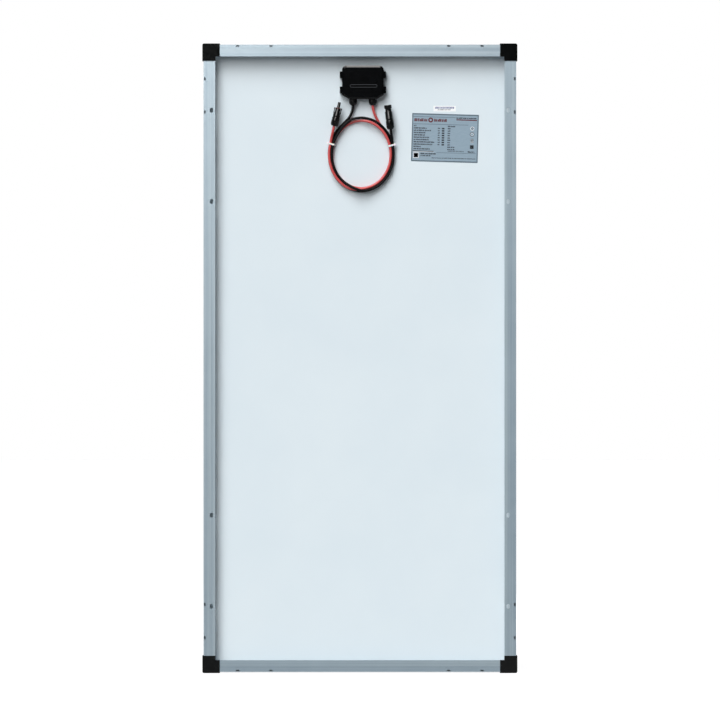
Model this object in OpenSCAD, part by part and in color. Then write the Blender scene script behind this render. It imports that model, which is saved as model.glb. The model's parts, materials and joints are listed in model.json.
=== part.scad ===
// Framed solar panel with a rear junction box, two looped output cables and plastic corner caps.
// It stands upright: X is its width, Z is its height, and its rear side faces -Y.
// The origin is the middle of the panel, halfway through its depth.

/* [Panel] */
// Height of the aluminium frame
panel_height = 1340; // [1320:1:1400]
// Width of the aluminium frame
panel_width = 668; // [660:1:700]
// Depth of the aluminium frame
frame_depth = 35; // [35:1:36]

/* [Frame section] */
// Width of the rear mounting flange
flange_width = 25; // [22:1:30]
// Thickness of the rear mounting flange
flange_thickness = 1.6; // [1.2:0.1:2]
// Thickness of the section's outer wall
wall = 1.4; // [1.2:0.1:1.8]
// Width of the closed chamber that takes the corner keys
chamber_width = 10; // [9:0.5:11]
// Width of the front lip over the glass
lip_width = 9; // [7:0.5:10]
// Thickness of the front lip
lip_thickness = 1.5; // [1.2:0.1:1.8]

/* [Mounting slots] */
// Distance from the frame's side to the middle of the slots
slot_inset = 17; // [15:0.5:18]
// Width of each slot
slot_width = 7; // [6:0.5:8]
// Length of each slot
slot_length = 10.5; // [9:0.5:14]
// Distance between the two inner slots of one side
inner_slot_spacing = 670; // [500:10:700]
// Distance between the two outer slots of one side
outer_slot_spacing = 1060; // [900:10:1100]

/* [Laminate] */
// Thickness of the glass
glass_thickness = 3.2; // [2.5:0.1:3.2]
// Side of a cell along the panel's width
cell_width = 156; // [120:1:156]
// Side of a cell along the panel's height
cell_height = 139; // [100:1:139]
// Gap between neighbouring cells
cell_gap = 2; // [1.5:0.1:3]
// Number of cell strings, side by side
strings = 4; // [4]
// Number of cells in each string
cells_per_string = 9; // [9]
// Number of ribbons across each cell
ribbons_per_cell = 3; // [2:1:5]

/* [Junction box] */
// Width of the junction box
box_width = 89; // [85:1:100]
// Height of the junction box
box_height = 71.5; // [68:0.5:80]
// Sideways place of the box's middle
box_x = 6.5; // [0:0.5:10]
// Height of the box's middle above the panel's middle
box_z = 590; // [580:0.5:595]
// Distance between the two cable glands
gland_spacing = 42; // [40:1:50]

/* [Cables] */
// Outside diameter of the cables
cable_diameter = 5.7; // [5:0.1:5.8]
// Number of flat sides on each cable's tube
cable_sides = 10; // [8:1:12]

/* [Corner caps] */
// Length of each cap's arms from its outer corner
cap_arm = 37; // [34:1:45]
// Thickness of the caps' outer walls
cap_wall = 2.5; // [2:0.1:3]

/* [Hidden] */
$fn = 48;

// Clearances
sliding_gap = 0.1;
thread_gap = 0.4;
cut = 1;

// Depths, from the rear (-Y) to the front (+Y)
rear_y = -frame_depth / 2;
front_y = frame_depth / 2;
seal_thickness = 0.5;
glass_front_y = front_y - lip_thickness - seal_thickness;
glass_rear_y = glass_front_y - glass_thickness;
laminate_y = glass_rear_y - 1.3;
backsheet_thickness = 0.3;
shelf_y = laminate_y - seal_thickness;
shelf_thickness = 1.4;
cell_y = glass_rear_y - 0.6;
cell_thickness = 0.2;
ribbon_thickness = 0.12;

// Frame
frame_edge = [panel_width / 2, panel_height / 2];
mitre_gap = 0.15;
bead_width = 1.6;
bead_height = 3;
groove_places = [8.5, 12.5, 16.8, 20.6];
groove_width = 0.9;
groove_depth = 0.4;
drain_places = [73, 144];
drain_length = 7.5;
drain_width = 3;
key_leg = 60;

// Laminate
glass_inset = 2.4;
glass_size = [panel_width - 2 * glass_inset, panel_height - 2 * glass_inset];
film_size = [glass_size.x - 1, glass_size.y - 1];
cell_pitch = [cell_width + cell_gap, cell_height + cell_gap];
string_half = cells_per_string * cell_pitch.y / 2 - cell_gap / 2;
ribbon_width = 1.5;
ribbon_step = cell_width / ribbons_per_cell;
bus_width = 5;
bus_row_1 = string_half + 8;
bus_row_2 = bus_row_1 + 8;
lead_width = 5;
lead_pitch = gland_spacing / 2;
lead_z = box_z + 11.5;

// Junction box
box_wall = 2.5;
box_corner = 9.5;
box_chamfer = [14.2, 9.2];
box_front_y = laminate_y - 0.8;
box_floor = 2;
rim_y = rear_y + 12.1;
lid_y = rim_y - sliding_gap;
lid_top_y = rear_y + 6.5;
gland_y = 2;
box_bottom_z = box_z - box_height / 2;
gland_x = [box_x - gland_spacing / 2, box_x + gland_spacing / 2];
gland_nut_length = 13;
spigot_length = 8;
spigot_radius = 6;
seal_bore = 4.6;
cable_radius = cable_diameter / 2;
cable_hole = cable_radius + 0.45;
terminal_z = 573;
terminal_y = gland_y + 3.5;
terminal_thickness = 1;
ear_offsets = [16, -16.3];
ear_width = 4.8;
ear_length = 14;
post_width = 1.6;
post_length = 8;

// Connectors, along their own axis from the cable's entry to the tip
nut_length = 19.5;
connector_length = 52;
connector_radius = 8.2;
contact_start = 18;
contact_radius = 2.6;
nose_start = 38;
nose_radius = 3.25;
nose_root = 2;
pin_radius = 2;
mouth_start = 40;
connector_y = -6.5;
plug_place = [-55, connector_y, 496.5];
plug_lean = 12.8;
socket_place = [66, connector_y, 489.5];
socket_lean = -7.3;

// Cable loop: two layers of two strands, wound on an ellipse
loop_centre = [3, 436];
loop_outer = [68.8, 78.3];
loop_inner = [63, 72.5];
layer_low = 6.6;
layer_high = 0.8;
layer_step = layer_low - layer_high;
crossing_lift = 6.8;
loop_step = 15;
bundle_y = (layer_low + layer_high) / 2;
bundle_half = (layer_step + cable_diameter) / 2;
strap = 1.1;
strap_width = 3.6;

// Cable routes: the free runs are lists of [x, y, z], and the loop is worked out by its angle
black_start = [
    [gland_x[0], gland_y, terminal_z], [gland_x[0], gland_y, 557], [gland_x[0], gland_y, 542],
    [-15.5, 2.3, 532], [-19, 3.6, 522], [-24.5, 5.4, 513], [-30.5, 6.6, 506.5]
];
black_end = [
    [70.3, 0.8, 454.5], [69.2, -0.2, 464], [68, -3.3, 473.5], [66.8, -6.3, 483],
    socket_place, socket_place + contact_start * [sin(socket_lean), 0, cos(socket_lean)]
];
red_start = [
    [gland_x[1], gland_y, terminal_z], [gland_x[1], gland_y, 557], [gland_x[1], gland_y, 542],
    [28.5, 2.3, 533], [31.5, 3.8, 522.5], [36, 5.8, 513], [41, 6.6, 504],
    [46, 6.6, 494.5], [50.5, 6.6, 486]
];
red_end = [
    [-63.3, 0.8, 458], [-61.5, -0.2, 467], [-59.3, -3.2, 477.5], [-56.6, -6.3, 489.5],
    plug_place, plug_place + contact_start * [sin(plug_lean), 0, cos(plug_lean)]
];

// Runs from 0 to 1 as t goes from a to b, smoothly at both ends
function blend(t, a, b) = let(k = min(max((t - a) / (b - a), 0), 1)) k * k * (3 - 2 * k);

function loop_point(t, size, y) =
    [loop_centre.x + size.x * cos(t), y, loop_centre.y + size.y * sin(t)];

// How far in a strand lies: 0 on the outer ellipse and 1 on the inner one
function loop_size(k) = loop_outer + k * (loop_inner - loop_outer);

// The black cable winds counter-clockwise as seen from the rear
function black_point(t) = loop_point(
    t,
    loop_size(blend(t, 465, 500) - blend(t, 602, 642)),
    layer_low - layer_step * blend(t, 376, 406) - crossing_lift * (1 - blend(abs(t - 621), 0, 38))
);

// The red cable winds clockwise, and the black one crosses over it at the bottom of the loop
function red_point(t) = loop_point(
    t,
    loop_size(1 - blend(-t, 438, 478)),
    layer_low - layer_step * blend(-t, 258, 286)
);

black_route = concat(black_start, [for (t = [126:loop_step:726]) black_point(t)], black_end);
red_route = concat(red_start, [for (t = [36:-loop_step:-549]) red_point(t)], red_end);

// Extrudes an outline, drawn as width and height, from one depth to another
module slab(from_y, to_y) {
    translate([0, to_y, 0]) rotate([90, 0, 0]) linear_extrude(to_y - from_y) children();
}

module ring_2d(outer, inner) {
    difference() {
        square(outer, center = true);
        square(inner, center = true);
    }
}

module tube(outer_radius, inner_radius, height) {
    difference() {
        cylinder(r = outer_radius, h = height);
        translate([0, 0, -cut]) cylinder(r = inner_radius, h = height + 2 * cut);
    }
}

// ---- Frame ----

// The extruded section: x is the distance in from the frame's side, y the depth from the rear
module bar_profile() {
    shelf_front = shelf_y - rear_y;
    difference() {
        union() {
            square([chamber_width, shelf_front]);
            square([flange_width, flange_thickness]);
            square([wall, frame_depth]);
            translate([flange_width - bead_width, 0]) square([bead_width, bead_height]);
            translate([0, frame_depth - lip_thickness]) square([lip_width, lip_thickness]);
        }
        translate([wall, flange_thickness])
            square([chamber_width - 2 * wall, shelf_front - shelf_thickness - flange_thickness]);
        for (place = groove_places)
            translate([place - groove_width / 2, -cut]) square([groove_width, cut + groove_depth]);
    }
}

// One mitred bar along X, its outer side at z = 0 and its section hanging below it
module bar(bar_length, slot_places = []) {
    half = bar_length / 2 - mitre_gap;
    reach = flange_width + 1;
    color("silver") difference() {
        intersection() {
            translate([-bar_length / 2, rear_y, 0]) rotate([0, 90, 0])
                linear_extrude(bar_length) bar_profile();
            slab(rear_y - cut, front_y + cut)
                polygon([[-half, 0], [half, 0], [half - reach, -reach], [reach - half, -reach]]);
        }
        slab(rear_y - cut, rear_y + flange_thickness + cut) {
            for (side = [-1, 1], place = drain_places)
                translate([side * (bar_length / 2 - place), -wall - drain_width / 2])
                    slot_outline(drain_length, drain_width);
            for (place = slot_places)
                translate([place, -slot_inset]) slot_outline(slot_length, slot_width);
        }
    }
}

module slot_outline(length, width) {
    straight = length - width;
    square([straight, width], center = true);
    for (side = [-1, 1]) translate([side * straight / 2, 0]) circle(d = width);
}

side_slots = [for (side = [-1, 1], gap = [inner_slot_spacing, outer_slot_spacing]) side * gap / 2];

module frame_top() { translate([0, 0, frame_edge.y]) bar(panel_width); }
module frame_bottom() { translate([0, 0, -frame_edge.y]) rotate([0, 180, 0]) bar(panel_width); }
module frame_left() {
    translate([-frame_edge.x, 0, 0]) rotate([0, -90, 0]) bar(panel_height, side_slots);
}
module frame_right() {
    translate([frame_edge.x, 0, 0]) rotate([0, 90, 0]) bar(panel_height, side_slots);
}

// Puts the children at one corner of the frame, their own corner at the top right
module at_corner(side_x, side_z) {
    translate([side_x * frame_edge.x, 0, side_z * frame_edge.y])
        mirror([side_x < 0 ? 1 : 0, 0, 0]) mirror([0, 0, side_z < 0 ? 1 : 0]) children();
}

// An L-shaped key that joins two bars inside their chambers, with teeth that bite on one side
module corner_key() {
    near = wall + sliding_gap;
    far = chamber_width - wall - sliding_gap;
    slab(rear_y + flange_thickness + sliding_gap, shelf_y - shelf_thickness - sliding_gap)
        difference() {
            polygon([
                [-near, -near], [-key_leg, -near], [-key_leg, -far],
                [-far, -far], [-far, -key_leg], [-near, -key_leg]
            ]);
            for (place = [18:6:54]) {
                translate([-place, -far]) rotate(45) square(1.2, center = true);
                translate([-far, -place]) rotate(45) square(1.2, center = true);
            }
        }
}

module corner_keys() {
    color("gray") for (side_x = [-1, 1], side_z = [-1, 1]) at_corner(side_x, side_z) corner_key();
}

// The cap's L shape, from its outer corner: rounded outside, with a notch at its inner corner
module cap_outline(arm_width) {
    corner_radius = 4;
    arm_start = cap_wall - cap_arm;
    difference() {
        union() {
            translate([arm_start, arm_start]) square([cap_arm, cap_arm - corner_radius]);
            translate([arm_start, arm_start]) square([cap_arm - corner_radius, cap_arm]);
            translate([cap_wall - corner_radius, cap_wall - corner_radius]) circle(corner_radius);
        }
        translate([arm_start - cut, arm_start - cut])
            square(cap_arm - cap_wall - arm_width + cut);
    }
}

module corner_cap(side_x, side_z) {
    plate = 1.5;
    color("#1c1c1e") at_corner(side_x, side_z) difference() {
        union() {
            slab(rear_y - plate, front_y) cap_outline(flange_width + 0.5);
            slab(front_y - cut, front_y + plate) cap_outline(lip_width + 1);
        }
        translate([-2 * cap_arm + sliding_gap, rear_y - sliding_gap, -2 * cap_arm + sliding_gap])
            cube([2 * cap_arm, frame_depth + 2 * sliding_gap, 2 * cap_arm]);
    }
}

module corner_cap_top_left() { corner_cap(-1, 1); }
module corner_cap_top_right() { corner_cap(1, 1); }
module corner_cap_bottom_left() { corner_cap(-1, -1); }
module corner_cap_bottom_right() { corner_cap(1, -1); }

// ---- Laminate ----

// The bead of sealant that wraps the laminate's edge inside the frame's pocket
module edge_sealant() {
    pocket = [panel_width - 2 * wall, panel_height - 2 * wall];
    rear_hole = [panel_width - 2 * chamber_width, panel_height - 2 * chamber_width];
    front_hole = [panel_width - 2 * lip_width, panel_height - 2 * lip_width];
    color("white") {
        slab(shelf_y, laminate_y) ring_2d(pocket, rear_hole);
        slab(laminate_y, glass_front_y) ring_2d(pocket, glass_size);
        slab(glass_front_y, glass_front_y + seal_thickness) ring_2d(pocket, front_hole);
    }
}

module glass() {
    color("#9fb6c4", 0.35) slab(glass_rear_y, glass_front_y) square(glass_size, center = true);
}

module encapsulant_front() {
    color("#e8eef2", 0.3) slab(cell_y + cell_thickness + ribbon_thickness, glass_rear_y)
        square(film_size, center = true);
}

module encapsulant_rear() {
    color("#e8eef2", 0.3) slab(laminate_y + backsheet_thickness, cell_y - 2 * ribbon_thickness)
        difference() {
            square(film_size, center = true);
            lead_tracks();
        }
}

module backsheet() {
    color("#dde6f0") slab(laminate_y, laminate_y + backsheet_thickness) difference() {
        square(glass_size, center = true);
        for (i = [-1:1])
            translate([box_x + i * lead_pitch, lead_z]) square([lead_width + 2, 3], center = true);
    }
}

// The tracks in the rear film that the three output ribbons run in
module lead_tracks() {
    for (i = [-1:1]) translate([box_x + i * lead_pitch - lead_width / 2 - 0.3, lead_z - 1])
        square([lead_width + 0.6, bus_row_2 + bus_width - lead_z]);
}

module cell_string(index) {
    x = (index - (strings - 1) / 2) * cell_pitch.x;
    color("#22304f") for (row = [0:cells_per_string - 1])
        translate([x, 0, (row - (cells_per_string - 1) / 2) * cell_pitch.y])
            slab(cell_y, cell_y + cell_thickness) square([cell_width, cell_height], center = true);
}

module cell_string_1() { cell_string(0); }
module cell_string_2() { cell_string(1); }
module cell_string_3() { cell_string(2); }
module cell_string_4() { cell_string(3); }

// A ribbon that runs from the front of one cell, through the gap, to the rear of the next
module tab_ribbon(start_front, end_rear) {
    front_low = cell_y + cell_thickness;
    front_high = front_low + ribbon_thickness;
    rear_high = cell_y;
    rear_low = rear_high - ribbon_thickness;
    bend = cell_gap / 4;
    rotate([90, 0, 90]) linear_extrude(ribbon_width, center = true) polygon([
        [front_low, start_front], [front_high, start_front], [front_high, bend],
        [rear_high, -bend], [rear_high, end_rear], [rear_low, end_rear],
        [rear_low, -bend], [front_low, bend]
    ]);
}

module tab_ribbons() {
    link = cell_height - 2;
    color("#c4c8cc") for (string = [0:strings - 1], tab = [0:ribbons_per_cell - 1])
        translate([
            (string - (strings - 1) / 2) * cell_pitch.x
                + (tab - (ribbons_per_cell - 1) / 2) * ribbon_step,
            0, 0
        ]) {
            for (row = [1:cells_per_string - 1])
                translate([0, 0, (row - cells_per_string / 2) * cell_pitch.y])
                    tab_ribbon(link, -link);
            translate([0, 0, -string_half - 1]) tab_ribbon(link, 1 - bus_row_2 + string_half);
            translate([0, 0, string_half + 1]) tab_ribbon(bus_row_2 - string_half - 1, -link);
        }
}

// A flat ribbon between two places across the panel, at one height
module bus_ribbon(from_x, to_x, z) {
    translate([from_x, cell_y - 2 * ribbon_thickness, z - bus_width / 2])
        cube([to_x - from_x, ribbon_thickness, bus_width]);
}

module bus_ribbons() {
    outer = (strings - 1) / 2 * cell_pitch.x + ribbon_step + 1;
    inner = cell_pitch.x / 2 - ribbon_step - 1;
    middle = cell_pitch.x / 2 + ribbon_step + 1;
    color("#c4c8cc") {
        bus_ribbon(-outer, -inner, -bus_row_1);
        bus_ribbon(inner, outer, -bus_row_1);
        bus_ribbon(-middle, middle, bus_row_1);
        bus_ribbon(-outer, box_x - lead_pitch + lead_width / 2, bus_row_2);
        bus_ribbon(box_x + lead_pitch - lead_width / 2, outer, bus_row_2);
    }
}

// An output ribbon from its bus, down behind the cells and through the backsheet to a terminal
module lead_ribbon(top_z) {
    bus_y = cell_y - 2 * ribbon_thickness;
    t = 0.15;
    foot_y = terminal_y + terminal_thickness;
    rotate([90, 0, 90]) linear_extrude(lead_width, center = true) polygon([
        [bus_y, top_z], [bus_y - t, top_z], [bus_y - t, lead_z + t], [foot_y, lead_z + t],
        [foot_y, lead_z - 6], [foot_y + t, lead_z - 6], [foot_y + t, lead_z], [bus_y, lead_z]
    ]);
}

module lead_ribbons() {
    color("#c4c8cc") for (i = [-1:1])
        translate([box_x + i * lead_pitch, 0, 0])
            lead_ribbon(i == 0 ? bus_row_1 + bus_width / 2 : bus_row_2 + bus_width / 2);
}

// ---- Junction box ----

// The box's outline about its own middle: round top corners and chamfered bottom ones
module box_outline(inset = 0) {
    w = box_width / 2 - inset;
    h = box_height / 2 - inset;
    r = box_corner - inset / 2;
    c = box_chamfer * (1 - inset / 20);
    polygon([
        [-w, c.y - h], [c.x - w, -h], [w - c.x, -h], [w, c.y - h],
        [w, h - r], [w - r, h], [r - w, h], [-w, h - r]
    ]);
    for (side = [-1, 1]) translate([side * (w - r), h - r]) circle(r, $fn = 32);
}

module at_box() { translate([box_x, 0, box_z]) children(); }

// The window in the box's floor that the ribbons come through
module ribbon_window() {
    translate([0, lead_z - box_z]) square([gland_spacing + 14, 8], center = true);
}

module box_adhesive() {
    color("#d8d8d8") at_box() slab(box_front_y, laminate_y) difference() {
        box_outline(1.5);
        ribbon_window();
    }
}

module at_ears() {
    for (side = [-1, 1], z = ear_offsets)
        translate([side * (box_width / 2 + ear_width / 2), 0, z]) children();
}

module at_glands() {
    for (x = gland_x) translate([x - box_x, gland_y, -box_height / 2]) children();
}

module junction_box_base() {
    floor_y = box_front_y - box_floor;
    boss_radius = 7.4;
    color("#202124") at_box() difference() {
        union() {
            difference() {
                slab(rim_y, box_front_y) box_outline();
                slab(rim_y - cut, floor_y) box_outline(box_wall);
            }
            at_ears() {
                slab(rim_y + 1, box_front_y - 1) square([ear_width + 0.2, ear_length], center = true);
                slab(lid_y - 1.6, rim_y + 2) square([post_width, post_length], center = true);
            }
            for (i = [-1:1]) translate([i * lead_pitch, 0, -8])
                slab(terminal_y + terminal_thickness, floor_y + 0.1) square([4, 14], center = true);
            at_glands() {
                translate([0, 0, -spigot_length]) cylinder(r = spigot_radius, h = spigot_length + 1);
                cylinder(r = boss_radius, h = box_wall + 2);
            }
        }
        slab(floor_y - cut, box_front_y + cut) ribbon_window();
        slab(rim_y - cut, rim_y + 1) difference() {
            box_outline(0.8);
            box_outline(1.9);
        }
        at_glands() translate([0, 0, -spigot_length - cut])
            cylinder(r = seal_bore, h = spigot_length + box_wall + 2 + 2 * cut);
    }
}

module lid_gasket() {
    color("#3a3a3c") at_box() slab(rim_y + 0.05, rim_y + 1) difference() {
        box_outline(0.85);
        box_outline(1.85);
    }
}

// The lid: a bevelled cover with a groove round its raised face, and four clip ears with holes
module junction_box_lid() {
    band_y = lid_y - 2.4;
    bevel_y = lid_top_y + 0.9;
    color("#26272a") at_box() {
        difference() {
            union() {
                slab(band_y, lid_y) box_outline();
                hull() {
                    slab(band_y - 0.05, band_y) box_outline();
                    slab(bevel_y, bevel_y + 0.05) box_outline(3.8);
                }
                slab(lid_top_y, bevel_y + 1) box_outline(5);
            }
            slab(bevel_y + 1.8, lid_y + cut) box_outline(4.5);
        }
        translate([1.5, 0, -8]) slab(lid_top_y - 0.8, lid_top_y + 0.2) difference() {
            lid_bar_outline(59, 7);
            lid_bar_outline(56.2, 4.2);
        }
        at_ears() slab(lid_y - 3.4, lid_y) difference() {
            square([ear_width + 0.2, ear_length], center = true);
            square([post_width + 0.8, post_length + 1], center = true);
        }
    }
}

// A bar with round ends that stands proud of the lid
module lid_bar_outline(bar_length, bar_height) {
    square([bar_length - bar_height, bar_height], center = true);
    for (side = [-1, 1])
        translate([side * (bar_length - bar_height) / 2, 0]) circle(d = bar_height, $fn = 24);
}

// Three plates on the box's floor, two of them with a clamp for a cable
module terminals() {
    color("#c9a24a") for (i = [-1:1]) translate([box_x + i * lead_pitch, 0, 0]) {
        difference() {
            translate([-4.5, terminal_y, terminal_z])
                cube([9, terminal_thickness, lead_z - terminal_z - 2]);
            translate([0, terminal_y - cut, terminal_z + 14]) rotate([-90, 0, 0])
                cylinder(d = 2.4, h = terminal_thickness + 2 * cut);
        }
        if (i != 0) translate([-3.5, gland_y - 3, terminal_z]) cube([7, 6.5, 6]);
    }
}

module bypass_diodes() {
    diode_y = gland_y + 2.9;
    reach = lead_pitch / 2;
    color("#2b2b2b") for (side = [-1, 1]) translate([box_x + side * reach, 0, terminal_z + 20]) {
        translate([0, diode_y, 0]) rotate([0, 90, 0]) {
            cylinder(d = 4.8, h = 8.4, center = true);
            cylinder(d = 1.2, h = 2 * reach - 3, center = true);
        }
    }
}

// ---- Cable glands ----

module gland_nut(x) {
    color("#1b1b1d") translate([x, gland_y, box_bottom_z - 0.3]) mirror([0, 0, 1]) difference() {
        union() {
            cylinder(r = 7.6, h = gland_nut_length - 3);
            translate([0, 0, gland_nut_length - 3]) cylinder(r1 = 7.6, r2 = 5, h = 3);
            for (turn = [0:45:315]) rotate(turn)
                translate([6.8, -1.6, 0]) cube([1.4, 3.2, gland_nut_length - 4]);
        }
        translate([0, 0, -cut]) cylinder(r = spigot_radius + thread_gap, h = spigot_length + 2);
        cylinder(r = cable_hole, h = gland_nut_length + cut);
    }
}

module gland_seal(x) {
    color("#4a4a4c") translate([x, gland_y, box_bottom_z - spigot_length + 1])
        tube(seal_bore - 0.1, cable_radius + 0.1, spigot_length - 1);
}

module gland_nut_left() { gland_nut(gland_x[0]); }
module gland_nut_right() { gland_nut(gland_x[1]); }
module gland_seal_left() { gland_seal(gland_x[0]); }
module gland_seal_right() { gland_seal(gland_x[1]); }

// ---- Cables ----

function unit(v) = v / norm(v);

function heading(route, i) = unit(route[min(i + 1, len(route) - 1)] - route[max(i - 1, 0)]);

function cable_ring(route, i) =
    let(along = heading(route, i), side = unit(cross([0, 1, 0], along)), up = cross(along, side))
    [for (k = [0:cable_sides - 1])
        route[i] + cable_radius * (cos(360 * k / cable_sides) * side + sin(360 * k / cable_sides) * up)];

// A tube with flat ends, swept along the route's own points
module cable(route) {
    n = cable_sides;
    rings = len(route);
    points = [for (i = [0:rings - 1]) each cable_ring(route, i)];
    walls = [for (i = [0:rings - 2], k = [0:n - 1])
        [i * n + k, (i + 1) * n + k, (i + 1) * n + (k + 1) % n, i * n + (k + 1) % n]];
    start_face = [[for (k = [0:n - 1]) k]];
    end_face = [[for (k = [n - 1:-1:0]) (rings - 1) * n + k]];
    polyhedron(points, concat(start_face, walls, end_face));
}

module cable_black() { color("#17181a") cable(black_route); }
module cable_red() { color("#c8454a") cable(red_route); }

// ---- Cable connectors ----

module at_plug() { translate(plug_place) rotate([0, plug_lean, 0]) children(); }
module at_socket() { translate(socket_place) rotate([0, socket_lean, 0]) children(); }

// The ribbed nut that clamps the cable at a connector's rear
module connector_nut() {
    color("#1b1b1d") difference() {
        union() {
            cylinder(r1 = 6, r2 = 7.8, h = 2.5);
            translate([0, 0, 2.5]) cylinder(r = 7.8, h = nut_length - 2.5);
            for (turn = [0:30:330]) rotate(turn)
                translate([7, -0.9, 3.5]) cube([1.2, 1.8, nut_length - 5]);
        }
        translate([0, 0, 3]) cylinder(r = spigot_radius + thread_gap, h = nut_length);
        translate([0, 0, -cut]) cylinder(r = cable_hole, h = nut_length);
    }
}

// What both connectors share: the threaded spigot inside the nut, and a collar with two flats
module connector_rear() {
    translate([0, 0, 6]) cylinder(r = spigot_radius, h = 14.5);
    translate([0, 0, nut_length + 0.3]) intersection() {
        cylinder(r = connector_radius, h = 4.2);
        translate([-7.6, -connector_radius, 0]) cube([15.2, 2 * connector_radius, 4.2]);
    }
}

module connector_bore() {
    translate([0, 0, 6 - cut]) cylinder(r = seal_bore, h = contact_start - 6 + cut);
    cylinder(r = contact_radius + 0.1, h = connector_length + cut);
}

module connector_seal() {
    color("#6a6a6c") translate([0, 0, 7]) tube(seal_bore - 0.1, cable_radius + 0.1, 9);
}

// The plug: a narrow nose between two locking arms
module plug_body() {
    color("#1e1e20") at_plug() difference() {
        union() {
            connector_rear();
            translate([0, 0, 23]) cylinder(r = 7.6, h = 7);
            translate([0, 0, 29]) cylinder(r = 5.6, h = nose_start - 29);
            translate([0, 0, nose_start - 1]) cylinder(r = nose_radius + 0.75, h = nose_root + 1);
            translate([0, 0, nose_start]) cylinder(r = nose_radius, h = connector_length - nose_start);
            for (side = [-1, 1]) {
                translate([side * 7.1 - 0.9, -2.8, 27]) cube([1.8, 5.6, 12.5]);
                translate([side * 7.4 - 1.1, -2.8, 35.5]) cube([2.2, 5.6, 4]);
            }
        }
        connector_bore();
    }
}

module plug_nut() { at_plug() connector_nut(); }
module plug_seal() { at_plug() connector_seal(); }

module plug_contact() {
    color("#b9a06a") at_plug() difference() {
        translate([0, 0, contact_start]) cylinder(r = contact_radius, h = 33);
        translate([0, 0, 28]) cylinder(r = pin_radius + 0.1, h = connector_length);
    }
}

module plug_o_ring() {
    color("#b04030") at_plug() translate([0, 0, nose_start + nose_root / 2])
        rotate_extrude() translate([nose_radius + 1.55, 0]) circle(r = 0.75, $fn = 24);
}

// The socket: a wide barrel with a waist, two latch windows and a pin inside
module socket_body() {
    color("#1e1e20") at_socket() difference() {
        union() {
            connector_rear();
            translate([0, 0, 23]) cylinder(r = 7.9, h = 14.5);
            translate([0, 0, 37]) cylinder(r1 = 7.6, r2 = 6.7, h = 2);
            translate([0, 0, 38]) cylinder(r = 6.7, h = 7);
            translate([0, 0, 44]) cylinder(r1 = 6.7, r2 = 8.1, h = 2);
            translate([0, 0, 46]) cylinder(r = 8.1, h = connector_length - 46);
        }
        connector_bore();
        translate([0, 0, 30]) cylinder(r = nose_radius + 0.35, h = connector_length);
        translate([0, 0, mouth_start]) cylinder(r = 5.8, h = connector_length);
        for (side = [-1, 1])
            translate([side * 7.5 - 3, -2.9, 40]) cube([6, 5.8, 4.5]);
    }
}

module socket_nut() { at_socket() connector_nut(); }
module socket_seal() { at_socket() connector_seal(); }

module socket_contact() {
    color("#b9a06a") at_socket() translate([0, 0, contact_start]) {
        cylinder(r = contact_radius, h = 10);
        cylinder(r = pin_radius, h = 30);
        translate([0, 0, 30]) sphere(r = pin_radius);
    }
}

// ---- Cable ties ----

module rounded_square(half, radius) {
    square([2 * half, 2 * (half - radius)], center = true);
    square([2 * (half - radius), 2 * half], center = true);
    for (x = [-1, 1], y = [-1, 1])
        translate([x, y] * (half - radius)) circle(radius, $fn = 24);
}

// A strap round all four strands, with its lock and the short end of the strap on one side
module cable_tie(place, lean, side) {
    hole = bundle_half + 0.1;
    color("#eceff2") translate([place.x, bundle_y, place.y]) rotate([0, lean, 0])
        translate([0, 0, -strap_width / 2]) {
            linear_extrude(strap_width) difference() {
                rounded_square(hole + strap, 2.6);
                rounded_square(hole, 1.5);
            }
            translate([side * (hole + strap + 1) - 1.5, -6.2, -0.7]) cube([3, 4.6, strap_width + 1.4]);
            translate([side * (hole + strap + 2) - 2, -4.4, 0]) cube([4, strap, strap_width]);
        }
}

module cable_tie_left() { cable_tie([-60.2, 458], 16, -1); }
module cable_tie_right() { cable_tie([66.9, 455], -14.5, 1); }

// ---- Labels ----

module rating_label() {
    color("#98a7b7") translate([182.1, 0, 471.4]) rotate([0, 1.6, 0])
        slab(laminate_y - 0.15, laminate_y) square([143, 103.5], center = true);
}

module serial_label() {
    color("white") translate([181.5, 0, 534.3])
        slab(laminate_y - 0.12, laminate_y) square([48, 12], center = true);
}

frame_top();
frame_bottom();
frame_left();
frame_right();
corner_keys();
corner_cap_top_left();
corner_cap_top_right();
corner_cap_bottom_left();
corner_cap_bottom_right();
edge_sealant();
glass();
encapsulant_front();
encapsulant_rear();
backsheet();
cell_string_1();
cell_string_2();
cell_string_3();
cell_string_4();
tab_ribbons();
bus_ribbons();
lead_ribbons();
box_adhesive();
junction_box_base();
lid_gasket();
junction_box_lid();
terminals();
bypass_diodes();
gland_nut_left();
gland_nut_right();
gland_seal_left();
gland_seal_right();
cable_black();
cable_red();
plug_body();
plug_nut();
plug_seal();
plug_contact();
plug_o_ring();
socket_body();
socket_nut();
socket_seal();
socket_contact();
cable_tie_left();
cable_tie_right();
rating_label();
serial_label();
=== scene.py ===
"""The look of a framed solar panel: its rear side, junction box, looped cables and front cells."""
import json
import math
import random

import bpy
from mathutils import Matrix, Vector


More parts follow.
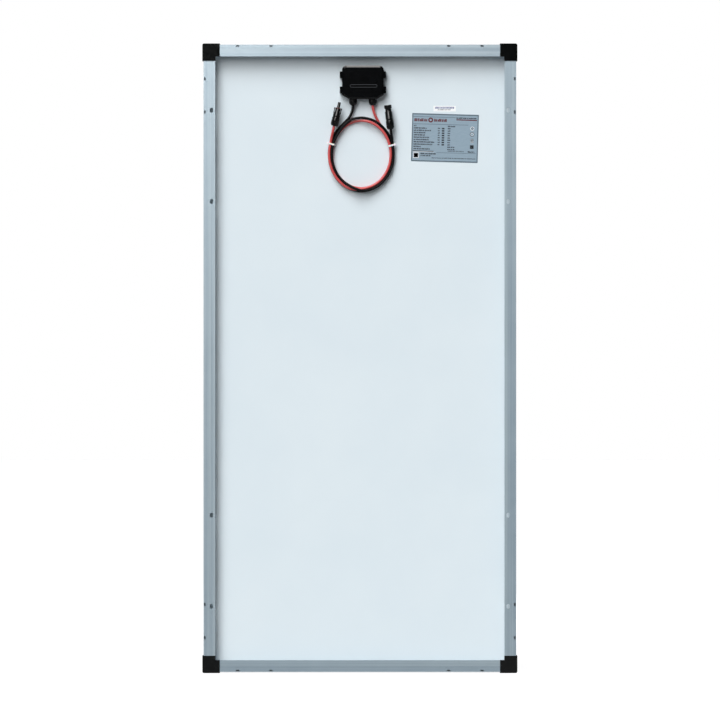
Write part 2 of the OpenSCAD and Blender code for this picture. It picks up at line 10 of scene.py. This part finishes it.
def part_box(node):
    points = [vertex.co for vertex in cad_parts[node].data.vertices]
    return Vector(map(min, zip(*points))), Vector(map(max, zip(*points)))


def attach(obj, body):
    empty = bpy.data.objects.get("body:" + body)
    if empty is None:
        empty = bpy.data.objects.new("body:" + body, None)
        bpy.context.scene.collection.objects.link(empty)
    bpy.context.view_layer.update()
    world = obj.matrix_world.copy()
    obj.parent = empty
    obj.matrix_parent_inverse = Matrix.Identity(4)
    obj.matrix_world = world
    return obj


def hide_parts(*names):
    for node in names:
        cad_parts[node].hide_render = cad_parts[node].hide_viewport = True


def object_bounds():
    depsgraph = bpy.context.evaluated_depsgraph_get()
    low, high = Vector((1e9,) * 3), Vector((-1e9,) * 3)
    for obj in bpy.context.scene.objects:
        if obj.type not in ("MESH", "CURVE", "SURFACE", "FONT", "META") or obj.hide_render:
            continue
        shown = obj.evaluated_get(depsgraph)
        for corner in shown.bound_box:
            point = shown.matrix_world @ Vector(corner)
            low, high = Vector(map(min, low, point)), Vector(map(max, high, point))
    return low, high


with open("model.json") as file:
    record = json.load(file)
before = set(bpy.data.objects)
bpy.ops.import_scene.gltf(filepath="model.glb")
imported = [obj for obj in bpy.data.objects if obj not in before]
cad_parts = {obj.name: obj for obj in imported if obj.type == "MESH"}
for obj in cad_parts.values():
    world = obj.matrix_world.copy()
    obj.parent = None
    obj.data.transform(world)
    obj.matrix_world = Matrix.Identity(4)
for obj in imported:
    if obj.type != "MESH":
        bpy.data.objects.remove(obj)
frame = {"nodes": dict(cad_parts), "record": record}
cad_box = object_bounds()
nodes = frame["nodes"]

MM = 0.001


# ---- Camera ----

def make_camera():
    """Looks straight at the rear side, from far enough to keep the frame's sides out of sight."""
    rear_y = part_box("frame_left")[0].y
    distance, view_width = 14, 1.538
    data = bpy.data.cameras.new("camera")
    data.lens = data.sensor_width * distance / view_width
    camera = bpy.data.objects.new("camera", data)
    camera.location = (0.3 * MM, rear_y - distance, -3.7 * MM)
    camera.rotation_euler = (math.radians(90), 0, 0)
    bpy.context.scene.collection.objects.link(camera)
    bpy.context.scene.camera = camera


# ---- Cables: the routes of their CAD solids, in millimetres ----

CABLE_RADIUS = 2.85
LOOP_CENTRE = (3, 436)
LOOP_OUTER = (68.8, 78.3)
LOOP_INNER = (63, 72.5)
LAYER_LOW = 6.6
LAYER_STEP = 5.8
CROSSING_LIFT = 6.8

BLACK_START = [
    (-14.5, 2, 573), (-14.5, 2, 557), (-14.5, 2, 542),
    (-15.5, 2.3, 532), (-19, 3.6, 522), (-24.5, 5.4, 513), (-30.5, 6.6, 506.5),
]
BLACK_END = [(70.3, 0.8, 454.5), (69.2, -0.2, 464), (68, -3.3, 473.5), (66.8, -6.3, 483)]
RED_START = [
    (27.5, 2, 573), (27.5, 2, 557), (27.5, 2, 542), (28.5, 2.3, 533), (31.5, 3.8, 522.5),
    (36, 5.8, 513), (41, 6.6, 504), (46, 6.6, 494.5), (50.5, 6.6, 486),
]
RED_END = [(-63.3, 0.8, 458), (-61.5, -0.2, 467), (-59.3, -3.2, 477.5), (-56.6, -6.3, 489.5)]


def blend(t, start, end):
    """Runs from 0 to 1 as t goes from start to end, smoothly at both ends."""
    k = min(max((t - start) / (end - start), 0), 1)
    return k * k * (3 - 2 * k)


def loop_point(turn, inward, y):
    size = [a + inward * (b - a) for a, b in zip(LOOP_OUTER, LOOP_INNER)]
    angle = math.radians(turn)
    return (
        LOOP_CENTRE[0] + size[0] * math.cos(angle), y, LOOP_CENTRE[1] + size[1] * math.sin(angle)
    )


def black_point(turn):
    lift = CROSSING_LIFT * (1 - blend(abs(turn - 621), 0, 38))
    inward = blend(turn, 465, 500) - blend(turn, 602, 642)
    return loop_point(turn, inward, LAYER_LOW - LAYER_STEP * blend(turn, 376, 406) - lift)


def red_point(turn):
    inward = 1 - blend(-turn, 438, 478)
    return loop_point(turn, inward, LAYER_LOW - LAYER_STEP * blend(-turn, 258, 286))


def connector_entry(place, lean):
    """The two points of a cable inside its connector: at the nut's mouth and at the contact."""
    angle = math.radians(lean)
    along = Vector((math.sin(angle), 0, math.cos(angle)))
    return [place, tuple(Vector(place) + 18 * along)]


def make_cable(name, node, route):
    curve = bpy.data.curves.new(name, "CURVE")
    curve.dimensions = "3D"
    curve.bevel_depth = 1
    curve.bevel_resolution = 5
    curve.resolution_u = 6
    curve.use_fill_caps = True
    spline = curve.splines.new("BEZIER")
    spline.bezier_points.add(len(route) - 1)
    for point, place in zip(spline.bezier_points, route):
        point.co = Vector(place) * MM
        point.radius = CABLE_RADIUS * MM
        point.handle_left_type = point.handle_right_type = "AUTO"
    cable = bpy.data.objects.new(name, curve)
    bpy.context.scene.collection.objects.link(cable)
    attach(cable, "panel")
    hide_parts(node)
    return cable


def make_cables():
    black_route = (
        BLACK_START + [black_point(turn) for turn in range(126, 727, 15)] + BLACK_END
        + connector_entry((66, -6.5, 489.5), -7.3)
    )
    red_route = (
        RED_START + [red_point(turn) for turn in range(36, -550, -15)] + RED_END
        + connector_entry((-55, -6.5, 496.5), 12.8)
    )
    black = make_cable(
        "black_cable", "cable_black", black_route,
    )
    red = make_cable(
        "red_cable", "cable_red", red_route,
    )
    return black, red


# ---- Materials ----

class Finish:
    """A procedural material: its Principled shader, and short calls for the nodes that feed it."""

    def __init__(self, name, **sockets):
        self.material = bpy.data.materials.new(name)
        self.material.use_nodes = True
        self.tree = self.material.node_tree
        self.shader = self.tree.nodes["Principled BSDF"]
        self.place = self.node("TexCoord").outputs["Object"]
        self.feed(**sockets)

    def feed(self, **sockets):
        """Sets the shader's sockets, each to a plain value or to another node's output."""
        for name, value in sockets.items():
            self.put(self.shader.inputs[name.replace("_", " ")], value)

    def put(self, socket, value):
        if isinstance(value, bpy.types.NodeSocket):
            self.tree.links.new(value, socket)
        elif socket.type == "RGBA" and len(value) == 3:
            socket.default_value = (*value, 1)
        else:
            socket.default_value = value

    def node(self, kind, inputs=(), **settings):
        node = self.tree.nodes.new("ShaderNode" + kind)
        for name, value in settings.items():
            setattr(node, name, value)
        for name, value in dict(inputs).items():
            self.put(node.inputs[name], value)
        return node

    def scaled(self, size, stretch):
        """The object's own coordinates, in steps of the given size in millimetres."""
        scale = [1 / (size * MM * s) for s in stretch]
        return self.node("Mapping", {"Vector": self.place, "Scale": scale}).outputs[0]

    def noise(self, size, detail=3, stretch=(1, 1, 1)):
        """Soft blotches about this many millimetres across, longer along the stretched axes."""
        return self.node(
            "TexNoise", {"Vector": self.scaled(size, stretch), "Scale": 1.0, "Detail": detail}
        ).outputs["Fac"]

    def crystals(self, size, stretch=(1, 1, 1), output="Color"):
        """Angular patches about this many millimetres across, each with its own random value."""
        return self.node(
            "TexVoronoi", {"Vector": self.scaled(size, stretch), "Scale": 1.0}
        ).outputs[output]

    def span(self, source, low, high, at=(0.3, 0.7)):
        """Turns the part of a value between the two places into another range."""
        return self.node("MapRange", {
            "Value": source, "From Min": at[0], "From Max": at[1], "To Min": low, "To Max": high,
        }).outputs["Result"]

    def mix(self, factor, first, second):
        node = self.node("Mix", data_type="RGBA")
        self.put(node.inputs[0], factor)
        self.put(node.inputs[6], first)
        self.put(node.inputs[7], second)
        return node.outputs[2]

    def math(self, operation, first, second):
        node = self.node("Math", operation=operation)
        self.put(node.inputs[0], first)
        self.put(node.inputs[1], second)
        return node.outputs[0]

    def bump(self, height, depth):
        """Raises the surface by up to this many millimetres, on top of any earlier bump."""
        node = self.node("Bump", {"Height": height, "Distance": depth * MM})
        if self.shader.inputs["Normal"].is_linked:
            self.put(node.inputs["Normal"], self.shader.inputs["Normal"].links[0].from_socket)
        self.put(self.shader.inputs["Normal"], node.outputs[0])


def anodised(name, along):
    """Satin aluminium with the fine lines that the extrusion die leaves along the bar."""
    stretch = [250 if axis == along else 1 for axis in range(3)]
    finish = Finish(name, Metallic=0.42, Specular_IOR_Level=0.4)
    lines = finish.noise(0.9, 2, stretch)
    bands = finish.noise(5, 1, stretch)
    cloud = finish.noise(60, 3)
    tone = finish.mix(finish.span(bands, 0, 1), (0.325, 0.41, 0.475), (0.47, 0.555, 0.6))
    tone = finish.mix(finish.span(lines, 0, 0.4), tone, (0.28, 0.36, 0.43))
    finish.feed(
        Base_Color=finish.mix(finish.span(cloud, 0, 0.25), tone, (0.46, 0.55, 0.61)),
        Roughness=finish.span(finish.noise(1.2, 3, stretch), 0.36, 0.52),
    )
    finish.bump(lines, 0.02)
    finish.bump(finish.noise(0.12, 1), 0.004)
    return finish.material


def moulded(name, dark, light, roughness=(0.09, 0.14), ridge=None):
    """Moulded plastic: a spark-eroded grain, faint flow clouds and, where a ridge is given, a
    painted highlight.

    What stands out as far as the ridge, in the piece's own coordinates, is painted paler, as a
    highlight.
    """
    finish = Finish(name, Specular_IOR_Level=0.35)
    grit = finish.noise(0.35, 2)
    tone = finish.mix(finish.span(finish.noise(14, 4), 0, 1), dark, light)
    if ridge is not None:
        out = finish.node("SeparateXYZ", {"Vector": finish.place}).outputs["Y"]
        painted_highlight = finish.span(out, 1, 0, (ridge + 0.2 * MM, ridge + 0.6 * MM))
        # Painted highlight: the faces nearest the ridge are painted far paler than the rest of the
        # plastic.
        tone = finish.mix(painted_highlight, tone, (0.045, 0.048, 0.052))
    finish.feed(
        Base_Color=finish.mix(finish.span(grit, 0, 0.3, (0.45, 0.75)), tone, light),
        Roughness=finish.span(finish.noise(5, 3), *roughness),
    )
    finish.bump(grit, 0.003)
    return finish.material


def sheath(name, dark, light, gloss):
    """A cable's smooth jacket: nearly even colour, soft gloss, and faint pulling lines."""
    finish = Finish(name, Specular_IOR_Level=gloss)
    cloud = finish.noise(9, 4)
    finish.feed(
        Base_Color=finish.mix(finish.span(cloud, 0, 1), dark, light),
        Roughness=finish.span(finish.noise(1.6, 3), 0.36, 0.5),
    )
    finish.bump(finish.noise(0.5, 2), 0.01)
    finish.bump(finish.noise(6, 2), 0.05)
    return finish.material


def backsheet():
    """White laminated film: a fine calendered grain, soft ripples and a few specks."""
    finish = Finish("backsheet", Specular_IOR_Level=0.35)
    cloud = finish.noise(170, 3)
    weave = finish.noise(0.8, 2)
    tone = finish.mix(finish.span(cloud, 0, 1), (0.735, 0.812, 0.858), (0.765, 0.836, 0.875))
    speck = finish.crystals(16, output="Distance")
    finish.feed(
        Base_Color=finish.mix(
            finish.span(speck, 0.3, 0, (0.012, 0.03)),
            finish.mix(finish.span(weave, 0, 0.12), tone, (0.66, 0.74, 0.79)),
            (0.45, 0.5, 0.53),
        ),
        Roughness=finish.span(weave, 0.46, 0.6),
    )
    finish.bump(weave, 0.01)
    finish.bump(finish.noise(45, 2), 0.12)
    return finish.material


def cell():
    """Polycrystalline silicon: angular blue grains under thin printed silver fingers."""
    finish = Finish("cells", Roughness=0.28, Coat_Weight=0.6, Coat_Roughness=0.12)
    grains = finish.crystals(11)
    shards = finish.crystals(5, (1, 1, 2.2))
    value = finish.node("SeparateColor", {"Color": grains}).outputs["Red"]
    fine = finish.node("SeparateColor", {"Color": shards}).outputs["Green"]
    tone = finish.mix(value, (0.006, 0.018, 0.09), (0.028, 0.075, 0.3))
    tone = finish.mix(finish.span(fine, 0, 0.6, (0, 1)), tone, (0.045, 0.11, 0.36))
    height = finish.node("SeparateXYZ", {"Vector": finish.place}).outputs["Z"]
    comb = finish.math("PINGPONG", height, 0.95 * MM)
    finger = finish.math("LESS_THAN", comb, 0.06 * MM)
    finish.feed(
        Base_Color=finish.mix(finger, tone, (0.42, 0.45, 0.48)),
        Metallic=finish.math("MULTIPLY", finger, 0.8),
    )
    finish.bump(value, 0.01)
    return finish.material


def glass():
    """Clear tempered glass: it only mirrors, more so at a slant, and shows the cells through."""
    finish = Finish("glass", Metallic=1.0)
    wave = finish.noise(2.2, 2)
    slant = finish.node("LayerWeight", {"Blend": 0.5}).outputs["Facing"]
    finish.feed(
        Base_Color=finish.mix(finish.span(finish.noise(120, 3), 0, 1), (0.88, 0.95, 0.94),
                              (0.96, 0.98, 0.98)),
        Roughness=finish.span(wave, 0.06, 0.12),
        Alpha=finish.span(finish.math("POWER", slant, 5.0), 0.04, 1, (0, 1)),
    )
    finish.bump(wave, 0.01)
    return finish.material


def film(name, cover, painted_glow):
    """The film that holds the cells: how opaque it is, and its painted glow, which stands in for
    light that the layers in front block.
    """
    finish = Finish(
        name, Roughness=0.25, Alpha=cover, Emission_Color=(0.9, 0.95, 1), Emission_Strength=painted_glow
    )
    finish.feed(Base_Color=finish.mix(finish.noise(30, 3), (0.8, 0.86, 0.88), (0.9, 0.93, 0.93)))
    return finish.material


def bare_metal(name, dark, light, roughness):
    """Plated or rolled metal with rolling marks and light tarnish."""
    finish = Finish(name, Metallic=1.0)
    marks = finish.noise(0.6, 3, (1, 1, 12))
    finish.feed(
        Base_Color=finish.mix(finish.span(finish.noise(7, 4), 0, 1), dark, light),
        Roughness=finish.span(marks, *roughness),
    )
    finish.bump(marks, 0.008)
    return finish.material


def soft_seal(name, dark, light):
    """Rubber or cured sealant: dull, with a skin that waves a little."""
    finish = Finish(name, Specular_IOR_Level=0.3)
    finish.feed(
        Base_Color=finish.mix(finish.span(finish.noise(6, 4), 0, 1), dark, light),
        Roughness=finish.span(finish.noise(1.5, 2), 0.55, 0.75),
    )
    finish.bump(finish.noise(1.8, 3), 0.04)
    return finish.material


def nylon():
    """Natural nylon: milky, with light passing into it, and fine moulded cross ribs."""
    finish = Finish("tie_nylon", Subsurface_Weight=0.25, Subsurface_Scale=0.6 * MM)
    finish.feed(
        Base_Color=finish.mix(finish.noise(3, 3), (0.80, 0.82, 0.82), (0.92, 0.93, 0.92)),
        Roughness=finish.span(finish.noise(1, 2), 0.35, 0.5),
    )
    finish.bump(finish.noise(0.6, 2), 0.01)
    return finish.material


def sticker(name, dark, light, roughness):
    """Label stock: a brushed or paper ground with fine fibres."""
    finish = Finish(name, Specular_IOR_Level=0.5)
    fibres = finish.noise(0.7, 3, (9, 1, 1))
    finish.feed(
        Base_Color=finish.mix(finish.span(fibres, 0, 1), dark, light),
        Roughness=finish.span(finish.noise(4, 3), *roughness),
    )
    finish.bump(fibres, 0.006)
    return finish.material


def ink(name, dark, light):
    """Printing ink that covers a little unevenly."""
    finish = Finish(name, Specular_IOR_Level=0.4)
    finish.feed(
        Base_Color=finish.mix(finish.span(finish.noise(0.6, 3), 0, 1), dark, light),
        Roughness=finish.span(finish.noise(2, 2), 0.45, 0.6),
    )
    return finish.material


# The darkest and the palest colour of the junction box and its lid
BOX_TONES = (0.0008, 0.001, 0.0013), (0.0022, 0.0027, 0.0034)


def make_materials():
    """One material for each of the record's slots, by slot name."""
    return {
        "cap_plastic": moulded("cap_plastic", (0.0012, 0.0016, 0.0016), (0.003, 0.0035, 0.0035)),
        "sealant": soft_seal("sealant", (0.62, 0.64, 0.64), (0.74, 0.76, 0.76)),
        "glass": glass(),
        "encapsulant": film("encapsulant", 0.04, 0),
        "backsheet": backsheet(),
        "cells": cell(),
        "tinned_ribbon": bare_metal(
            "tinned_ribbon", (0.55, 0.57, 0.58), (0.72, 0.73, 0.74), (0.28, 0.42)),
        "adhesive": soft_seal("adhesive", (0.52, 0.53, 0.53), (0.66, 0.67, 0.67)),
        "box_plastic": moulded("box_plastic", *BOX_TONES),
        "seal_rubber": soft_seal("seal_rubber", (0.02, 0.02, 0.021), (0.045, 0.045, 0.046)),
        "terminal_brass": bare_metal(
            "terminal_brass", (0.48, 0.33, 0.12), (0.66, 0.48, 0.2), (0.25, 0.4)),
        "diode_epoxy": moulded("diode_epoxy", (0.008, 0.008, 0.008), (0.02, 0.02, 0.02)),
        "connector_plastic": moulded(
            "connector_plastic", (0.0012, 0.0014, 0.0016), (0.004, 0.0043, 0.0046), (0.14, 0.22)),
        "black_jacket": sheath(
            "black_jacket", (0.002, 0.002, 0.0025), (0.005, 0.005, 0.006), 0.12),
        "red_jacket": sheath("red_jacket", (0.54, 0.055, 0.055), (0.64, 0.085, 0.08), 0.6),
        "contact_metal": bare_metal(
            "contact_metal", (0.55, 0.53, 0.48), (0.72, 0.70, 0.64), (0.2, 0.35)),
        "o_ring": soft_seal("o_ring", (0.12, 0.02, 0.014), (0.17, 0.03, 0.02)),
        "tie_nylon": nylon(),
        "rating_label": sticker(
            "rating_label", (0.255, 0.345, 0.42), (0.3, 0.395, 0.475), (0.32, 0.45)),
        "serial_label": sticker(
            "serial_label", (0.94, 0.95, 0.96), (0.98, 0.985, 0.99), (0.4, 0.55)),
        "ink_dark": ink("ink_dark", (0.012, 0.018, 0.024), (0.025, 0.034, 0.042)),
        "ink_red": ink("ink_red", (0.085, 0.006, 0.012), (0.13, 0.012, 0.018)),
        "ink_blue": ink("ink_blue", (0.03, 0.045, 0.2), (0.05, 0.07, 0.27)),
        "ink_light": ink("ink_light", (0.72, 0.76, 0.8), (0.82, 0.85, 0.88)),
        "ink_border": ink("ink_border", (0.075, 0.11, 0.14), (0.105, 0.145, 0.175)),
    }


def dress_nodes(materials):
    """Gives every CAD node its material, and small rounded edges (in millimetres) to some slots."""
    slot_of = {part["node"]: part["material_slot"] for part in frame["record"]["subparts"]}
    bars = {"frame_top": 0, "frame_bottom": 0, "frame_left": 2, "frame_right": 2, "corner_keys": 2}
    rounded = {
        "anodised": 0.25, "cap_plastic": 0.6, "box_plastic": 0.65, "connector_plastic": 0.35,
        "tie_nylon": 0.25,
    }
    for name, node in nodes.items():
        slot = slot_of[name]
        if name in bars:
            material = anodised("anodised_" + name, bars[name])
        elif name == "encapsulant_rear":
            # Painted light: the rear film glows in place of the light that cannot reach it through
            # the glass and the front film.
            material = film("encapsulant_white_painted_glow", 1, 0.42)
        elif name == "junction_box_lid":
            # The lid's outermost faces get a painted highlight in its material.
            ridge = min(corner[1] for corner in node.bound_box)
            material = moulded("lid_plastic", *BOX_TONES, ridge=ridge)
        else:
            material = materials[slot]
        for index in range(max(1, len(node.data.materials))):
            if index < len(node.material_slots):
                node.material_slots[index].material = material
            else:
                node.data.materials.append(material)
        if slot in rounded:
            round_edges(node, rounded[slot])


def round_edges(node, width):
    weld = node.modifiers.new("weld", "WELD")
    weld.merge_threshold = 0.002 * MM
    bevel = node.modifiers.new("bevel", "BEVEL")
    bevel.width = width * MM
    bevel.segments = 2
    bevel.limit_method = "ANGLE"
    bevel.angle_limit = math.radians(40)
    bevel.use_clamp_overlap = True
    bevel.harden_normals = True


# ---- Label print ----

class Print:
    """Thin raised ink on a flat label, laid out in millimetres from the label's top left."""

    def __init__(self, node, size, lean=0.0):
        low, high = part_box(node)
        self.y = low.y
        turn = Matrix.Rotation(math.radians(lean), 4, "Y")
        self.place = Matrix.Translation(((low.x + high.x) / 2, 0, (low.z + high.z) / 2)) @ turn
        self.size = size
        self.patches = {}

    def shape(self, colour, corners):
        """A flat patch of ink. Each corner is its distance from the left and from the top."""
        self.patches.setdefault(colour, []).append(corners)

    def bar(self, colour, left, top, width, height):
        right, low = left + width, top + height
        self.shape(colour, [(left, top), (right, top), (right, low), (left, low)])

    def ring(self, colour, x, y, outer, inner):
        steps = 24
        edge = [(math.cos(2 * math.pi * k / steps), math.sin(2 * math.pi * k / steps))
                for k in range(steps)]
        for (cos_a, sin_a), (cos_b, sin_b) in zip(edge, edge[1:] + edge[:1]):
            self.shape(colour, [
                (x + outer * cos_a, y + outer * sin_a), (x + outer * cos_b, y + outer * sin_b),
                (x + inner * cos_b, y + inner * sin_b), (x + inner * cos_a, y + inner * sin_a),
            ])

    def words(self, colour, left, top, length, height, rng):
        """A line of small print, as short plain strokes in groups."""
        x, end = left, left + length
        while x < end - 0.8:
            for _ in range(rng.randint(3, 8)):
                stroke = rng.uniform(0.7, 1.2)
                if x + stroke > end:
                    break
                drop = rng.choice((0, 0, 0.25 * height))
                self.bar(colour, x, top + drop, stroke, height - drop)
                x += stroke + 0.22
            x += 0.8

    def make(self, name, materials):
        """One thin closed piece for each colour of ink."""
        for colour, patches in self.patches.items():
            vertices, faces = [], []
            for corners in patches:
                first = len(vertices)
                for y in (self.y - 0.04 * MM, self.y + 0.02 * MM):
                    for across, down in corners:
                        point = self.place @ Vector((
                            (across - self.size[0] / 2) * MM, 0, (self.size[1] / 2 - down) * MM
                        ))
                        vertices.append((point.x, y, point.z))
                faces.append([first + k for k in (3, 2, 1, 0)])
                faces.append([first + k for k in (4, 5, 6, 7)])
                for k in range(4):
                    n = (k + 1) % 4
                    faces.append([first + k, first + n, first + 4 + n, first + 4 + k])
            mesh = bpy.data.meshes.new(f"{name}_{colour}")
            mesh.from_pydata(vertices, [], faces)
            mesh.materials.append(materials[colour])
            piece = bpy.data.objects.new(f"{name}_{colour}", mesh)
            bpy.context.scene.collection.objects.link(piece)
            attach(piece, "panel")


def print_rating_label(materials):
    """A border, a heading, a table of values in four columns, and plain marks down the right."""
    rng = random.Random(7)
    width, height = 143, 103.5
    label = Print("rating_label", (width, height), 1.6)
    for left, top, w, h in (
        (0.6, 0.6, width - 1.2, 2.2), (0.6, height - 2.8, width - 1.2, 2.2),
        (0.6, 2.8, 1.9, height - 5.6), (width - 2.5, 2.8, 1.9, height - 5.6),
        (3, 7, 90, 0.9), (3, 22.4, 118, 0.9), (54, 83, 84, 0.8),
    ):
        label.bar("ink_border", left, top, w, h)
    label.words("ink_red", 5, 11, 30, 6.4, rng)
    label.ring("ink_red", 40, 14, 5.4, 2.4)
    label.words("ink_red", 47, 11, 29, 6.4, rng)
    label.words("ink_dark", 95, 6.8, 43, 3, rng)
    label.bar("ink_red", 95, 11, 44, 2.3)
    row_lengths = (6, 28, 37, 26, 25, 33, 33, 45, 41, 16, 36)
    for row, length in enumerate(row_lengths):
        top = 25.2 + 4.95 * row
        label.words("ink_dark", 4.5, top, length, 2.9, rng)
        if 0 < row < 9:
            label.words("ink_dark", 56, top, 5, 2.6, rng)
            label.bar("ink_dark", 64.5, top, 5.5, 3.1)
        label.words("ink_dark", 77, top, 6 if 0 < row < 9 else 16, 2.8, rng)
    label.ring("ink_light", 129.5, 30, 4.2, 2.8)
    label.ring("ink_dark", 129.5, 30, 2.8, 1.6)
    label.ring("ink_dark", 129.5, 42.5, 4.8, 3.6)
    label.ring("ink_light", 129.5, 42.5, 3.6, 2.6)
    for k in range(3):
        label.bar("ink_dark", 126.5, 52 + 3 * k, 6.5, 1.6)
        label.bar("ink_light", 126.5, 53.6 + 3 * k, 6.5, 0.8)
    label.bar("ink_dark", 125.5, 65.5, 8, 8)
    label.bar("ink_light", 128, 68, 3, 3)
    label.words("ink_dark", 121, 78.5, 15, 3.2, rng)
    label.bar("ink_dark", 3, 80, 45, 1.8)
    label.bar("ink_light", 3, 81.8, 46, 0.9)
    label.words("ink_dark", 20, 84.6, 33, 3.2, rng)
    label.words("ink_dark", 20, 89.2, 22, 2.6, rng)
    label.words("ink_border", 78, 78.5, 36, 2.2, rng)
    label.words("ink_dark", 44, 94, 95, 1.7, rng)
    label.bar("ink_light", 4.5, 84, 12, 12)
    label.bar("ink_dark", 5.8, 85.3, 9.4, 9.4)
    label.bar("ink_light", 7.4, 86.9, 6.2, 6.2)
    label.make("rating_print", materials)


def print_serial_label(materials):
    """A row of plain bars over a row of small strokes."""
    rng = random.Random(11)
    label = Print("serial_label", (48, 12))
    x = 3.5
    while x < 44:
        stroke = rng.choice((0.3, 0.3, 0.6, 0.9))
        label.bar("ink_blue", x, 2, stroke, 4.4)
        x += stroke + rng.choice((0.25, 0.25, 0.5))
    label.words("ink_dark", 9, 7.6, 28, 1.6, rng)
    label.make("serial_print", materials)


# ---- Stage ----

def area_light(name, place, aim, size, power, colour=(1, 1, 1)):
    data = bpy.data.lights.new(name, "AREA")
    data.shape = "RECTANGLE"
    data.size, data.size_y = size
    data.energy = power
    data.color = colour
    light = bpy.data.objects.new(name, data)
    light.location = place
    light.rotation_euler = (Vector(aim) - Vector(place)).to_track_quat("-Z", "Y").to_euler()
    bpy.context.scene.collection.objects.link(light)
    return light


def seen_directly(tree):
    """1 for what the camera sees straight on, and 0 for light that bounces."""
    return tree.nodes.new("ShaderNodeLightPath").outputs["Is Camera Ray"]


def make_stage():
    """A wide pale floor, lit so evenly that only a faint shadow shows on it."""
    floor_z = cad_box[0].z
    half = 30
    mesh = bpy.data.meshes.new("floor")
    mesh.from_pydata(
        [(-half, -half, floor_z), (half, -half, floor_z), (half, half, floor_z),
         (-half, half, floor_z)], [], [(0, 1, 2, 3)],
    )
    finish = Finish("floor", Roughness=0.9, Emission_Color=(1, 1, 1))
    finish.feed(
        Base_Color=finish.mix(finish.noise(400, 2), (0.24, 0.24, 0.24), (0.26, 0.26, 0.26)),
        Emission_Strength=finish.math("MULTIPLY", seen_directly(finish.tree), 0.8),
    )
    mesh.materials.append(finish.material)
    floor = bpy.data.objects.new("floor", mesh)
    bpy.context.scene.collection.objects.link(floor)


def make_world():
    world = bpy.data.worlds.new("studio")
    world.use_nodes = True
    tree = world.node_tree
    strength = tree.nodes.new("ShaderNodeMapRange")
    strength.inputs["To Min"].default_value = 0.05
    strength.inputs["To Max"].default_value = 1
    tree.links.new(seen_directly(tree), strength.inputs["Value"])
    background = tree.nodes["Background"]
    background.inputs["Color"].default_value = (1, 1, 1, 1)
    tree.links.new(strength.outputs["Result"], background.inputs["Strength"])
    bpy.context.scene.world = world


def soft_sun(name, aside, up, spread, power, colour):
    """Even light from this many degrees aside and above straight on, over a disc this wide.

    It leaves no highlights.
    """
    data = bpy.data.lights.new(name, "SUN")
    data.angle = math.radians(spread)
    data.energy = power
    data.color = colour
    sun = bpy.data.objects.new(name, data)
    aside, up = math.radians(aside), math.radians(up)
    along = Vector((-math.sin(aside) * math.cos(up), math.cos(aside) * math.cos(up), -math.sin(up)))
    sun.rotation_euler = along.to_track_quat("-Z", "Y").to_euler()
    sun.visible_glossy = False
    bpy.context.scene.collection.objects.link(sun)


def make_lights():
    """Soft light from above and a little left of the rear side, and a soft box on the glass side.

    Two more boxes at the rear show only as reflections, so that the film stays evenly lit.
    """
    soft_sun("low_sun", -20, 22, 34, 1.15, (0.97, 0.99, 1.0))
    soft_sun("high_sun", -20, 52, 38, 2.8, (0.97, 0.99, 1.0))
    for name, place, size, power in (
        ("gloss", (-0.9, -2.4, 1.7), (1.6, 1.6), 75),
        ("edge_gloss", (-0.2, -1.3, 3.0), (2.4, 0.5), 35),
    ):
        light = area_light(name, place, (0, 0, 0.2), size, power, (1, 0.98, 0.96))
        light.visible_diffuse = False
    area_light("glass_side", (1.8, 3.4, 1.6), (0, 0, 0), (3, 3), 120)


make_camera()
black_cable, red_cable = make_cables()
finishes = make_materials()
black_cable.data.materials.append(finishes["black_jacket"])
red_cable.data.materials.append(finishes["red_jacket"])
dress_nodes(finishes)
print_rating_label(finishes)
print_serial_label(finishes)
make_stage()
make_world()
make_lights()
bpy.context.scene.view_settings.view_transform = "Standard"
